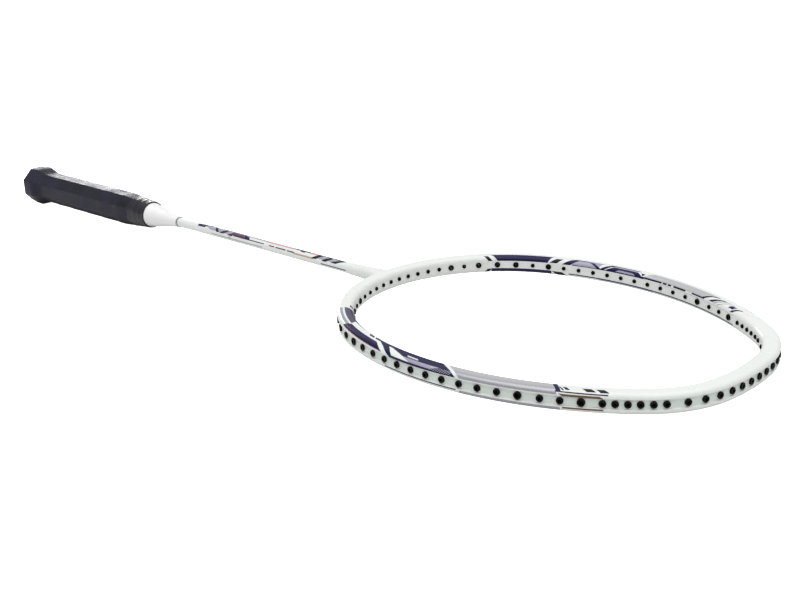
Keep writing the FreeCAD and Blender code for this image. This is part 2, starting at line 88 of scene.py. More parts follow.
class Field:
    """A value that changes over a surface: an output of a node tree that takes part in sums."""

    def __init__(self, tree, socket):
        self.tree, self.socket = tree, socket

    def math(self, operation, *others):
        node = self.tree.nodes.new("ShaderNodeMath")
        node.operation = operation
        for value, socket in zip((self,) + others, node.inputs):
            plug(self.tree, value, socket)
        return Field(self.tree, node.outputs[0])

    def turned_round(self, operation, first):
        node = self.tree.nodes.new("ShaderNodeMath")
        node.operation = operation
        plug(self.tree, first, node.inputs[0])
        plug(self.tree, self, node.inputs[1])
        return Field(self.tree, node.outputs[0])

    def __add__(self, other):
        return self.math("ADD", other)

    def __sub__(self, other):
        return self.math("SUBTRACT", other)

    def __mul__(self, other):
        return self.math("MULTIPLY", other)

    def __truediv__(self, other):
        return self.math("DIVIDE", other)

    def __gt__(self, other):
        return self.math("GREATER_THAN", other)

    def __lt__(self, other):
        return self.math("LESS_THAN", other)

    def __rsub__(self, other):
        return self.turned_round("SUBTRACT", other)

    __radd__, __rmul__ = __add__, __mul__

    def parts(self):
        """The three coordinates of a vector."""
        node = self.tree.nodes.new("ShaderNodeSeparateXYZ")
        plug(self.tree, self, node.inputs[0])
        return [Field(self.tree, socket) for socket in node.outputs]

    def scaled(self, factor):
        node = self.tree.nodes.new("ShaderNodeVectorMath")
        node.operation = "SCALE"
        plug(self.tree, self, node.inputs[0])
        plug(self.tree, factor, node.inputs["Scale"])
        return Field(self.tree, node.outputs[0])


def joined(tree, x, y, z):
    node = tree.nodes.new("ShaderNodeCombineXYZ")
    for value, socket in zip((x, y, z), node.inputs):
        plug(tree, value, socket)
    return Field(tree, node.outputs[0])


def mixed(mask, under, over):
    """Two colours, the second where the mask is 1."""
    tree = mask.tree
    node = tree.nodes.new("ShaderNodeMix")
    node.data_type = "RGBA"
    for value, place in ((mask, 0), (under, 6), (over, 7)):
        plug(tree, value, node.inputs[place])
    return Field(tree, node.outputs[2])


def ramp(value, *stops):
    """A colour ramp through (place, colour) stops."""
    node = value.tree.nodes.new("ShaderNodeValToRGB")
    plug(value.tree, value, node.inputs[0])
    ends = node.color_ramp.elements
    for element, (place, colour) in zip(ends, (stops[0], stops[-1])):
        element.position, element.color = place, colour
    for place, colour in stops[1:-1]:
        ends.new(place).color = colour
    return Field(value.tree, node.outputs[0])


def noise(place, scale, detail=3.0, roughness=0.55):
    node = place.tree.nodes.new("ShaderNodeTexNoise")
    plug(place.tree, place, node.inputs["Vector"])
    for word, value in (("Scale", scale), ("Detail", detail), ("Roughness", roughness)):
        plug(place.tree, value, node.inputs[word])
    return Field(place.tree, node.outputs["Fac"])


def new_group(name, inputs, outputs):
    """An empty node group with named sockets: the group, its inputs as Fields, and its output node."""
    group = bpy.data.node_groups.new(name, "ShaderNodeTree")
    for word, kind in inputs:
        group.interface.new_socket(name=word, in_out="INPUT", socket_type=kind)
    for word, kind in outputs:
        group.interface.new_socket(name=word, in_out="OUTPUT", socket_type=kind)
    source, target = group.nodes.new("NodeGroupInput"), group.nodes.new("NodeGroupOutput")
    return group, {word: Field(group, source.outputs[word]) for word, _ in inputs}, target


def finish_group(group, target, **results):
    for word, value in results.items():
        plug(group, value, target.inputs[word])
    return group


def use(group, tree, **values):
    """Places a group in a tree and gives its outputs by name."""
    node = tree.nodes.new("ShaderNodeGroup")
    node.node_tree = group
    for word, value in values.items():
        plug(tree, value, node.inputs[word.replace("_", " ")])
    return {socket.name: Field(tree, socket) for socket in node.outputs}


# ---------------------------------------------------------------- places on the racket

Arc = namedtuple("Arc", "x y radius first last start")


def solve_pair(a, b, c, d, first, second):
    scale = a * d - b * c
    return (first * d - b * second) / scale, (a * second - first * c) / scale


def hoop_arcs():
    """The tangent arcs of the hoop's centreline, tip to throat, as arcs with their start along it."""
    tip_end, corner_end, _, side_end, shoulder_end = [math.radians(a) for a in ARC_ENDS]
    front = TIP_TO_WIDEST
    rear = HOOP_LENGTH - TIP_TO_WIDEST
    corner, upper = solve_pair(
        math.sin(corner_end) - math.sin(tip_end), 1 - math.sin(corner_end),
        math.cos(tip_end) - math.cos(corner_end), math.cos(corner_end),
        HOOP_HALF_WIDTH - TIP_RADIUS * math.sin(tip_end), front - TIP_RADIUS * (1 - math.cos(tip_end)))
    lower, shoulder = solve_pair(
        1 - math.sin(side_end), math.sin(side_end) - math.sin(shoulder_end),
        -math.cos(side_end), math.cos(side_end) - math.cos(shoulder_end),
        HOOP_HALF_WIDTH - THROAT_RADIUS * math.sin(shoulder_end),
        rear - THROAT_RADIUS * (1 + math.cos(shoulder_end)))
    radii = (TIP_RADIUS, corner, upper, lower, shoulder, THROAT_RADIUS)
    ends = [0.0] + [math.radians(a) for a in ARC_ENDS] + [math.pi]
    arcs, x, y, start = [], TOTAL_LENGTH - TUBE_WIDTH / 2, 0.0, 0.0
    for radius, first, last in zip(radii, ends, ends[1:]):
        centre_x, centre_y = x - radius * math.cos(first), y - radius * math.sin(first)
        arcs.append(Arc(centre_x, centre_y, radius, first, last, start))
        x, y = centre_x + radius * math.cos(last), centre_y + radius * math.sin(last)
        start += radius * (last - first)
    return arcs


def hoop_place_group():
    """Along: mm from the tip along the hoop. Round: degrees round the tube from its outer middle.
    Out: mm outwards from the centreline. Up: mm above it. Near: 1 on the -Y half."""
    group, given, target = new_group(
        "hoop_place", [("Vector", VECTOR)],
        [("Along", NUMBER), ("Round", NUMBER), ("Out", NUMBER), ("Up", NUMBER), ("Near", NUMBER)])
    x, y, z = given["Vector"].scaled(1 / MM).parts()
    across = y.math("ABSOLUTE")
    arcs = hoop_arcs()
    centre_x, centre_y, radius = arcs[0].x, arcs[0].y, arcs[0].radius
    start = arcs[0].start - arcs[0].radius * arcs[0].first
    for before, arc in zip(arcs, arcs[1:]):
        join_x = arc.x + arc.radius * math.cos(arc.first)
        join_y = arc.y + arc.radius * math.sin(arc.first)
        passed = ((across - join_y) * math.cos(arc.first) - (x - join_x) * math.sin(arc.first)) > 0.0
        centre_x = passed * (arc.x - before.x) + centre_x
        centre_y = passed * (arc.y - before.y) + centre_y
        radius = passed * (arc.radius - before.radius) + radius
        start = start + passed * ((arc.start - arc.radius * arc.first)
                                  - (before.start - before.radius * before.first))
    across_arc, along_arc = across - centre_y, x - centre_x
    along = radius * across_arc.math("ARCTAN2", along_arc) + start
    out = (along_arc * along_arc + across_arc * across_arc).math("SQRT") - radius
    turn = z.math("ABSOLUTE").math("ARCTAN2", out) * (180 / math.pi)
    return finish_group(group, target, Along=along, Round=turn, Out=out, Up=z, Near=y < 0.0)


def axis_place_group():
    """Along: mm from the butt face. Round: degrees round the racket's axis from the top."""
    group, given, target = new_group(
        "axis_place", [("Vector", VECTOR)], [("Along", NUMBER), ("Round", NUMBER)])
    x, y, z = given["Vector"].scaled(1 / MM).parts()
    turn = (y * -1.0).math("ARCTAN2", z) * (180 / math.pi)
    return finish_group(group, target, Along=x, Round=turn)


def patch_group():
    """A mask of one painted patch: Start to End along, Low to High round. The leans slope its ends,
    in mm a degree, and Rise slopes its sides, in degrees a mm."""
    words = ("Along", "Round", "Start", "End", "Low", "High", "Start Lean", "End Lean", "Rise")
    group, given, target = new_group("painted_patch", [(word, NUMBER) for word in words],
                                     [("Mask", NUMBER)])
    up = given["Round"] - given["Low"]
    on = given["Along"] - given["Start"]
    after = (on - given["Start Lean"] * up) > 0.0
    before = (given["Along"] - given["End"] - given["End Lean"] * up) < 0.0
    level = given["Round"] - given["Rise"] * on
    return finish_group(group, target,
                        Mask=after * before * (level > given["Low"]) * (level < given["High"]))


def weave_group():
    """A twill of two threads that cross, Pitch wide. Mask says which thread is on top."""
    group, given, target = new_group(
        "twill", [("Along", NUMBER), ("Across", NUMBER), ("Pitch", NUMBER)], [("Mask", NUMBER)])
    one = given["Along"] / given["Pitch"]
    two = given["Across"] / given["Pitch"]
    step = (one - two.math("FLOOR")) * 0.25
    return finish_group(group, target, Mask=step.math("FRACT") < 0.5)


def handling_group():
    """Faint signs of use: Haze is a soft, uneven film, and Scratches are fine hairlines."""
    group, given, target = new_group(
        "handling", [("Vector", VECTOR), ("Haze Size", NUMBER), ("Scratch Size", NUMBER)],
        [("Haze", NUMBER), ("Scratches", NUMBER)])
    haze = noise(given["Vector"], given["Haze Size"], 4.0)
    x, y, z = given["Vector"].parts()
    long_ways = joined(group, x * 0.12 + y * 0.5, y + x * 0.3, z)
    lines = (noise(long_ways, given["Scratch Size"], 2.0) - 0.5).math("ABSOLUTE") < 0.004
    return finish_group(group, target, Haze=haze, Scratches=lines)


def grain_group():
    """A moulded or leathery grain: rounded pebbles with finer noise on them."""
    group, given, target = new_group(
        "grain", [("Vector", VECTOR), ("Size", NUMBER), ("Fine", NUMBER)], [("Height", NUMBER)])
    cells = group.nodes.new("ShaderNodeTexVoronoi")
    cells.feature = "SMOOTH_F1"
    plug(group, given["Vector"], cells.inputs["Vector"])
    plug(group, given["Size"], cells.inputs["Scale"])
    pebbles = 1.0 - Field(group, cells.outputs["Distance"])
    fine = noise(given["Vector"], given["Size"] * 3.0, 2.0)
    return finish_group(group, target, Height=pebbles + fine * given["Fine"])


HOOP_PLACE, AXIS_PLACE, PATCH = hoop_place_group(), axis_place_group(), patch_group()
TWILL, HANDLING, GRAIN = weave_group(), handling_group(), grain_group()

# ---------------------------------------------------------------- paint

Paint = namedtuple("Paint", "colour metal", defaults=(0.0,))
NAVY = Paint((0.006, 0.004, 0.046, 1))
INK = Paint((0.002, 0.002, 0.008, 1))
SLATE = Paint((0.07, 0.065, 0.11, 1))
LILAC = Paint((0.34, 0.33, 0.42, 1), 0.1)
PALE = Paint((0.60, 0.59, 0.66, 1))
WHITE = Paint((0.715, 0.74, 0.72, 1))
SILVER = Paint((0.52, 0.52, 0.53, 1), 0.35)
GREY = Paint((0.33, 0.34, 0.38, 1), 0.2)
BRONZE = Paint((0.13, 0.075, 0.04, 1), 0.2)
PINK = Paint((0.60, 0.27, 0.30, 1))
PLUM = Paint((0.10, 0.035, 0.085, 1))
ORANGE = Paint((0.46, 0.33, 0.24, 1), 0.1)

Mark = namedtuple("Mark", "paint start end low high start_lean end_lean rise", defaults=(0, 0, 0))

# Marks on the hoop's outer shoulders, in mm from the tip and degrees from the outer middle. The first
# list shows on the top face, the second on the face below.
OUTER_TOP = [
    Mark(GREY, 248, 275, 59, 76),
    Mark(NAVY, 206, 251, 38, 80, .22, -.08, .16),
    Mark(PINK, 206, 250, 35, 37.5, .22, 0, .16),
    Mark(NAVY, 155, 200, 33, 118, .15, .21, -.1),
    Mark(LILAC, 171, 187, 41, 60, -.3, .25),
    Mark(WHITE, 184.5, 197.5, 41, 95, .33, .15),
    Mark(PALE, 180, 187.5, 66, 80, .1, .1, .3),
    Mark(SILVER, 103.5, 153, 34, 118, .047, .13),
    Mark(NAVY, 101.6, 104, 46, 118, .045, .045),
    Mark(NAVY, 80, 103.8, 41.5, 47.5, 0, .1, .16),
    Mark(BRONZE, 82, 101, 28.5, 38, .2, .2, .04),
    Mark(INK, 79.5, 83.5, 54, 84, .08, .08),
    Mark(INK, 85.5, 90, 56, 86, .08, .08),
    Mark(INK, 97.5, 99.6, 60, 88, .08, .08),
    Mark(INK, 100.2, 101.2, 56, 88, .08, .08),
]
OUTER_BELOW = [
    Mark(NAVY, 155, 203, 31, 36.5),
    Mark(SILVER, 102, 153, 33, 90),
    Mark(BRONZE, 82, 101, 30.5, 38),
]
# Fine pale hatching over the end of the near side's navy panel.
HATCH = Mark(PALE, 158, 171, 38, 58)

# Marks on the hoop's inner shoulders, in the same way.
INNER_TOP = [
    Mark(INK, 276.2, 279, 118, 152, -.09, -.09),
    Mark(NAVY, 232.5, 274.5, 98, 152, .06, -.09),
    Mark(INK, 225.3, 229.9, 119, 149, .14, .15),
    Mark(LILAC, 197, 216, 98, 148, .08, .17),
    Mark(NAVY, 212, 217.3, 98, 151, .16, .16),
    Mark(NAVY, 206, 215, 98, 110, .2, .2),
    Mark(NAVY, 204.5, 207.5, 114, 147, -.185, -.185),
    Mark(NAVY, 196, 219, 147, 151),
    Mark(LILAC, 171, 192, 98, 120, .1, .1),
    Mark(NAVY, 171, 193, 97, 105),
    Mark(NAVY, 188, 191.2, 98, 148, .17, .17),
    Mark(NAVY, 172, 190, 119, 151, -.16, .2),
    Mark(LILAC, 175.5, 186, 133.5, 144, -.18, .22),
    Mark(INK, 166.5, 170, 119, 135, .1, -.1),
    Mark(SILVER, 109.5, 162, 89, 141, .2, .1),
    Mark(NAVY, 153, 172, 138, 148),
    Mark(INK, 149, 152, 138, 148),
    Mark(INK, 145.5, 148, 138, 148),
    Mark(INK, 133.5, 143.5, 138, 148),
    Mark(NAVY, 117, 128, 139, 147),
    Mark(NAVY, 107, 109.6, 91, 146, .2, .2),
    Mark(NAVY, 100.5, 103.6, 96, 142, .2, .2),
    Mark(SILVER, 96.4, 98.8, 91, 146, .2, .2),
    Mark(GREY, 93.2, 94.4, 91, 146, .2, .2),
    Mark(NAVY, 89.5, 94, 103, 128, .06, .06),
    Mark(NAVY, 83.6, 86, 99, 143, .14, .14),
    Mark(GREY, 88, 155, 153, 155),
]
INNER_NEAR = [
    Mark(NAVY, 214.5, 219.5, 100, 114, .1, .1),
    Mark(NAVY, 221, 226, 100, 114, .1, .1),
    Mark(SLATE, 248, 276, 88, 119, .06, -.09),
]
INNER_BELOW = [
    Mark(NAVY, 233, 274, 131, 154),
    Mark(INK, 276.2, 279, 125, 152, -.09, -.09),
    Mark(INK, 222, 229, 126, 152, .14, .14),
    Mark(NAVY, 88, 221, 142, 149.5),
    Mark(LILAC, 160, 200, 136, 142),
]

# Marks on the shaft, in mm from the butt face and degrees from the top, the same on both faces.
SHAFT_MARKS = [
    Mark(LILAC, 233, 284, -4, 58, .2, .06),
    Mark(NAVY, 230, 242, 6, 50, .0, -.1),
    Mark(NAVY, 236, 253, -6, 14),
    Mark(NAVY, 248.6, 251.6, 0, 64, .06, .06),
    Mark(INK, 261.5, 266, 16, 64, -.12, -.12),
    Mark(NAVY, 258, 286, -6, 13),
    Mark(INK, 270.5, 275.5, 22, 68, -.12, -.12),
    Mark(PLUM, 270, 286, 14, 54, -.05, .05),
    Mark(NAVY, 272, 288, 50, 62),
    Mark(NAVY, 282.5, 287.5, 4, 62, .05, .05),
    Mark(NAVY, 286, 305.5, 50, 61),
    Mark(GREY, 286, 308, -5, 22),
    Mark(PINK, 307, 336, -6, 26),
    Mark(NAVY, 311, 316.5, 52, 64),
    Mark(NAVY, 318, 328.5, 52, 65),
    Mark(NAVY, 330, 337.5, 54, 67),
    Mark(ORANGE, 337, 357, 60, 78),
    Mark(LILAC, 359, 378, 20, 56),
    Mark(NAVY, 336, 357, -8, 18),
    Mark(NAVY, 342.5, 346.5, 0, 30),
    Mark(PINK, 352, 362, 4, 24),
    Mark(INK, 360.6, 365, 6, 68, -.1, -.1),
    Mark(NAVY, 358, 372, -4, 14),
    Mark(INK, 370.6, 375, 6, 68, -.1, -.1),
    Mark(INK, 381.6, 386.4, 2, 62, -.14, -.14),
    Mark(NAVY, 368, 388, -14, 22, .3, -.3),
    Mark(GREY, 247, 304, 92, 106),
    Mark(GREY, 267, 269, 78, 92),
    Mark(NAVY, 364, 388, 95, 108),
]


def painted(colour, metal, marks, along, turn, keep=None):
    """Lays marks over a colour, in order, and gives the new colour and the share of metal."""
    for mark in marks:
        mask = use(PATCH, colour.tree, Along=along, Round=turn, Start=mark.start, End=mark.end,
                   Low=mark.low, High=mark.high, Start_Lean=mark.start_lean,
                   End_Lean=mark.end_lean, Rise=mark.rise)["Mask"]
        if keep is not None:
            mask = mask * keep
        colour = mixed(mask, colour, mark.paint.colour)
        metal = metal + mask * (mark.paint.metal - metal)
    return colour, metal


# ---------------------------------------------------------------- materials

def new_material(name, **fixed):
    """A material, its tree, its Principled shader with fixed values, and Object coordinates."""
    material = bpy.data.materials.new(name)
    material.use_nodes = True
    tree = material.node_tree
    shader = tree.nodes["Principled BSDF"]
    for word, value in fixed.items():
        shader.inputs[word.replace("_", " ")].default_value = value
    place = Field(tree, tree.nodes.new("ShaderNodeTexCoord").outputs["Object"])
    return material, tree, shader, place


def bumped(tree, shader, height, distance):
    """Feeds a height to the shader's normal through a Bump node, with its distance in mm."""
    node = tree.nodes.new("ShaderNodeBump")
    node.inputs["Distance"].default_value = distance * MM
    plug(tree, height, node.inputs["Height"])
    plug(tree, Field(tree, node.outputs[0]), shader.inputs["Normal"])


def lacquer_base(place, tint):
    """Lacquer's colour before any marks, with a slight drift over a hand's breadth."""
    drift = noise(place, 14.0, 2.0)
    return ramp(drift, (0.35, tint), (0.65, tuple(c * 0.965 for c in tint[:3]) + (1,)))


def lacquer_finish(tree, shader, place):
    """Gloss with faint orange peel, haze and hairlines."""
    used = use(HANDLING, tree, Vector=place, Haze_Size=30.0, Scratch_Size=260.0)
    roughness = used["Haze"] * 0.16 + used["Scratches"] * 0.12 + 0.2
    plug(tree, roughness, shader.inputs["Roughness"])
    peel = noise(place, 900.0, 1.5) + noise(place, 260.0, 1.0) * 0.6
    bumped(tree, shader, peel, 0.012)


# Where the hoop's finish and its painted shade change, in degrees round the tube from its outer middle
# and in mm outwards from the centreline. The groove and the inner wall are darkened as painted shade,
# and the silver darkens towards the tube's outer side as painted shade. HOLLOW_RISE is mm above or
# below the centreline. The hollow's limits are just inside its flat walls, so the bare carbon is in
# its rounded corners.
GROOVE_TURN, GROOVE_OUT = 27.0, 3.0
INNER_WALL_TURN, INNER_WALL_OUT = 112.0, -3.5
OUTER_MARKS_END, INNER_MARKS_START = 62.0, 118.0
SILVER_START, SILVER_SHADE_END, SILVER_SHADE_SPAN = 101.5, 88.0, 52.0
HOLLOW_IN, HOLLOW_OUT, HOLLOW_RISE = -3.75, 2.85, 4.35


def frame_lacquer():
    """White lacquer with its painted marks, painted shade in its groove, on its inner wall and on the
    silver's outer side, and bare woven carbon in the corners of the tube's hollow.
    """
    material, tree, shader, place = new_material("frame_lacquer", Coat_Roughness=0.06, Coat_Weight=0.06,
                                                 Specular_IOR_Level=0.18)
    spot = use(HOOP_PLACE, tree, Vector=place)
    along, turn, near, out, up = (spot[word] for word in ("Along", "Round", "Near", "Out", "Up"))
    colour = lacquer_base(place, WHITE.colour)
    # Painted shade: the recessed groove is darkened and tinted grey-green.
    shaded_groove = (turn < GROOVE_TURN) * (out > GROOVE_OUT)
    colour = mixed(shaded_groove * 0.8, colour, (0.60, 0.67, 0.63, 1))
    # Painted shade: the hoop's inner wall is dulled a little towards grey.
    shaded_inner_wall = (turn > INNER_WALL_TURN) * (out < INNER_WALL_OUT)
    colour = mixed(shaded_inner_wall * 0.25, colour, (0.66, 0.66, 0.64, 1))
    above, below = up > 0.0, up < 0.0
    outside = near.math("MAXIMUM", turn < OUTER_MARKS_END)
    inside = (1.0 - near).math("MAXIMUM", turn > INNER_MARKS_START)
    metal = shaded_groove * 0.0
    colour, metal = painted(colour, metal, OUTER_TOP, along, turn, above * outside)
    colour, metal = painted(colour, metal, OUTER_BELOW, along, turn, below * outside)
    stripe = ((along + turn * 0.12) / 1.3).math("FRACT") < 0.36
    hatch = use(PATCH, tree, Along=along, Round=turn, Start=HATCH.start, End=HATCH.end,
                Low=HATCH.low, High=HATCH.high)["Mask"]
    colour = mixed(hatch * stripe * above * outside * 0.55, colour, HATCH.paint.colour)
    colour, metal = painted(colour, metal, INNER_TOP, along, turn, above * inside)
    colour, metal = painted(colour, metal, INNER_NEAR, along, turn, above * near)
    colour, metal = painted(colour, metal, INNER_BELOW, along, turn, below)
    fibre = use(TWILL, tree, Along=along, Across=turn * 0.09, Pitch=0.55)
    silvered = (metal > 0.3) * (along > SILVER_START)
    shade = (SILVER_SHADE_END - turn) / SILVER_SHADE_SPAN
    shade = shade.math("MINIMUM", 1.0).math("MAXIMUM", 0.0)
    colour = mixed(silvered * shade * 0.8, colour, (0.26, 0.26, 0.30, 1))
    colour = mixed(fibre["Mask"] * silvered * 0.07, colour, (0.62, 0.62, 0.66, 1))
    bare = (out > HOLLOW_IN) * (out < HOLLOW_OUT) * (up.math("ABSOLUTE") < HOLLOW_RISE)
    carbon = mixed(fibre["Mask"], (0.010, 0.010, 0.011, 1), (0.028, 0.029, 0.032, 1))
    colour = mixed(bare, colour, carbon)
    plug(tree, colour, shader.inputs["Base Color"])
    plug(tree, metal, shader.inputs["Metallic"])
    lacquer_finish(tree, shader, place)
    return material


def shaft_lacquer():
    material, tree, shader, place = new_material("shaft_lacquer", Coat_Roughness=0.06,
                                                 Coat_Weight=0.22, Specular_IOR_Level=0.35)
    spot = use(AXIS_PLACE, tree, Vector=place)
    along = spot["Along"]
    turn = ((spot["Round"] + 200.0) / 180.0).math("FRACT") * 180.0 - 20.0
    colour = lacquer_base(place, WHITE.colour)
    colour, metal = painted(colour, along * 0.0, SHAFT_MARKS, along, turn)
    fibre = use(TWILL, tree, Along=along, Across=spot["Round"] * (SHAFT_RADIUS * math.pi / 180),
                Pitch=1.1)
    carbon = mixed(fibre["Mask"], (0.012, 0.012, 0.013, 1), (0.035, 0.036, 0.04, 1))
    hidden = (along < SHAFT_SHOWS[0]).math("MAXIMUM", along > SHAFT_SHOWS[1])
    colour = mixed(hidden, colour, carbon)
    plug(tree, colour, shader.inputs["Base Color"])
    plug(tree, metal, shader.inputs["Metallic"])
    lacquer_finish(tree, shader, place)
    return material


def plain_lacquer(name, tint):
    material, tree, shader, place = new_material(name, Coat_Roughness=0.06, Coat_Weight=0.3)
    plug(tree, lacquer_base(place, tint), shader.inputs["Base Color"])
    lacquer_finish(tree, shader, place)
    return material


PARTING_LINE = 0.08


def cone_plastic():
    """Moulded cone: gloss white with a faint parting line along each side."""
    material, tree, shader, place = new_material("cone_plastic", Coat_Weight=0.4, Coat_Roughness=0.08)
    height = place.parts()[2]
    line = height.math("ABSOLUTE") < PARTING_LINE * MM
    colour = mixed(line * 0.35, lacquer_base(place, (0.80, 0.79, 0.79, 1)), (0.5, 0.5, 0.5, 1))
    plug(tree, colour, shader.inputs["Base Color"])
    lacquer_finish(tree, shader, place)
    return material


def metal_finish(name, tint, roughness):
    """Turned or cast metal with fine rings round the axis."""
    material, tree, shader, place = new_material(name, Metallic=1.0)
    x, y, z = place.parts()
    rings = noise(joined(tree, x * 6000.0, y * 20.0, z * 20.0), 1.0, 2.0)
    colour = ramp(rings, (0.3, tint), (0.7, tuple(c * 0.8 for c in tint[:3]) + (1,)))
    plug(tree, colour, shader.inputs["Base Color"])
    plug(tree, rings * 0.15 + roughness, shader.inputs["Roughness"])
    bumped(tree, shader, rings, 0.01)
    return material


def handle_wood():
    """Light basswood: long fibres, faint rings and pores."""
    material, tree, shader, place = new_material("handle_wood", Roughness=0.7)
    x, y, z = place.parts()
    grain = noise(joined(tree, x * 14.0, y * 420.0, z * 420.0), 1.0, 5.0)
    rings = (z * 900.0 + noise(place, 20.0) * 5.0).math("SINE") * 0.5 + 0.5
    pores = noise(joined(tree, x * 90.0, y * 2400.0, z * 2400.0), 1.0, 2.0) > 0.66
    colour = ramp(grain * 0.7 + rings * 0.3, (0.3, (0.58, 0.42, 0.26, 1)), (0.7, (0.42, 0.28, 0.15, 1)))
    colour = mixed(pores * 0.5, colour, (0.22, 0.13, 0.06, 1))
    plug(tree, colour, shader.inputs["Base Color"])
    bumped(tree, shader, grain - pores * 0.5, 0.08)
    return material


def moulded_black(name, size, depth, roughness, tint):
    """Moulded black nylon or plastic: fine grain, a slight bloom, and no gloss coat."""
    material, tree, shader, place = new_material(name, Specular_IOR_Level=0.12)
    grain = use(GRAIN, tree, Vector=place, Size=size, Fine=0.4)
    used = use(HANDLING, tree, Vector=place, Haze_Size=160.0, Scratch_Size=700.0)
    pale = tuple(c * 1.8 + 0.001 for c in tint[:3]) + (1,)
    colour = ramp(used["Haze"], (0.4, tint), (0.75, pale))
    plug(tree, colour, shader.inputs["Base Color"])
    plug(tree, used["Haze"] * 0.25 + used["Scratches"] * 0.1 + roughness, shader.inputs["Roughness"])
    bumped(tree, shader, grain["Height"], depth)
    return material


def wrap_phase(x, turn):
    """How far a point is through one turn of the wrap, 0 to 1, from mm along and degrees round."""
    return x / WRAP_PITCH + turn / 360.0


def grip_pu():
    """Dark polyurethane wrap: leathery grain, rows of small pores, and a dull line at each overlap."""
    material, tree, shader, place = new_material("grip_pu", Specular_IOR_Level=0.26,
                                                 Specular_Tint=(0.86, 0.85, 1.0, 1))
    spot = use(AXIS_PLACE, tree, Vector=place)
    phase = wrap_phase(spot["Along"], spot["Round"]).math("FRACT")
    grain = use(GRAIN, tree, Vector=place, Size=1500.0, Fine=0.6)
    used = use(HANDLING, tree, Vector=place, Haze_Size=70.0, Scratch_Size=420.0)
    rows = phase * (WRAP_PITCH / 2.3)
    around = spot["Round"] * (GRIP_WIDTH * math.pi / 720 / 1.15) + rows.math("FLOOR") * 0.5
    pore_u, pore_v = rows.math("FRACT") - 0.5, around.math("FRACT") - 0.5
    pore = (pore_u * pore_u + pore_v * pore_v * 0.25) < 0.012
    seam = (phase < 0.03) + (phase > 0.99)
    colour = ramp(used["Haze"], (0.35, (0.003, 0.003, 0.008, 1)), (0.7, (0.016, 0.015, 0.033, 1)))
    colour = mixed(pore * 0.8, colour, (0.002, 0.002, 0.003, 1))
    colour = mixed(seam * 0.7, colour, (0.003, 0.003, 0.005, 1))
    plug(tree, colour, shader.inputs["Base Color"])
    plug(tree, used["Haze"] * 0.5 + grain["Height"] * 0.08 + 0.14, shader.inputs["Roughness"])
    bumped(tree, shader, grain["Height"] - pore * 1.5, 0.1)
    return material


def tape_film():
    """Glossy stretched vinyl with slack creases and the edge of its last turn."""
    material, tree, shader, place = new_material("tape_film", Coat_Weight=0.12, Coat_Roughness=0.12,
                                                 Specular_IOR_Level=0.3)
    spot = use(AXIS_PLACE, tree, Vector=place)
    x, y, z = place.parts()
    creases = noise(joined(tree, x * 900.0, y * 110.0, z * 110.0), 1.0, 3.0)
    edge = ((spot["Along"] * 0.35 + spot["Round"] - 60.0).math("ABSOLUTE") < 2.0)
    used = use(HANDLING, tree, Vector=place, Haze_Size=120.0, Scratch_Size=500.0)
    colour = ramp(used["Haze"], (0.35, (0.007, 0.007, 0.010, 1)), (0.7, (0.018, 0.018, 0.024, 1)))
    colour = mixed(edge * 0.8, colour, (0.05, 0.05, 0.06, 1))
    plug(tree, colour, shader.inputs["Base Color"])
    plug(tree, used["Haze"] * 0.2 + 0.2, shader.inputs["Roughness"])
    bumped(tree, shader, creases + edge * 0.6, 0.06)
    return material


FRAME_LACQUER, SHAFT_LACQUER = frame_lacquer(), shaft_lacquer()
JOINT_LACQUER = plain_lacquer("joint_lacquer", (0.72, 0.73, 0.72, 1))
CONE_PLASTIC = cone_plastic()
ANCHOR_METAL = metal_finish("anchor_metal", (0.62, 0.61, 0.58, 1), 0.3)
RING_METAL = metal_finish("ring_metal", (0.42, 0.43, 0.45, 1), 0.35)
HANDLE_WOOD = handle_wood()
BUTT_PLASTIC = moulded_black("butt_plastic", 900.0, 0.05, 0.42, (0.010, 0.010, 0.013, 1))
GROMMET_NYLON = moulded_black("grommet_nylon", 3200.0, 0.008, 0.4, (0.0008, 0.001, 0.0012, 1))
GRIP_PU, TAPE_FILM = grip_pu(), tape_film()

CARRIED_OVER = {
    "frame_hoop": FRAME_LACQUER, "shaft_tube": SHAFT_LACQUER, "t_joint": JOINT_LACQUER,
    "t_anchor": ANCHOR_METAL, "cone_cap": CONE_PLASTIC, "cone_ring": RING_METAL,
    "handle_core": HANDLE_WOOD, "butt_cap": BUTT_PLASTIC,
}


def cover(piece, material):
    piece.data.materials.clear()
    piece.data.materials.append(material)


for node_name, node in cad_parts.items():
    if node_name in CARRIED_OVER:
        cover(node, CARRIED_OVER[node_name])
    elif node_name.startswith("grommets"):
        cover(node, GROMMET_NYLON)

# ---------------------------------------------------------------- the wrapped grip

def rest():
    """Object mode with nothing selected."""
    if bpy.context.mode != "OBJECT":
        bpy.ops.object.mode_set(mode="OBJECT")
    bpy.ops.object.select_all(action="DESELECT")


def smooth_step(share):
    return share * share * (3 - 2 * share)


def grip_width(x):
    """The wrap across its flats, at mm from the butt face."""
    if x < FLARE_END:
        return FLARE_WIDTH
    if x < WAIST_START:
        share = smooth_step((x - FLARE_END) / (WAIST_START - FLARE_END))
        return FLARE_WIDTH + (GRIP_WIDTH - FLARE_WIDTH) * share
    if x < TAPER_START:
        return GRIP_WIDTH
    return GRIP_WIDTH + (FRONT_WIDTH - GRIP_WIDTH) * (x - TAPER_START) / (GRIP_FRONT - TAPER_START)


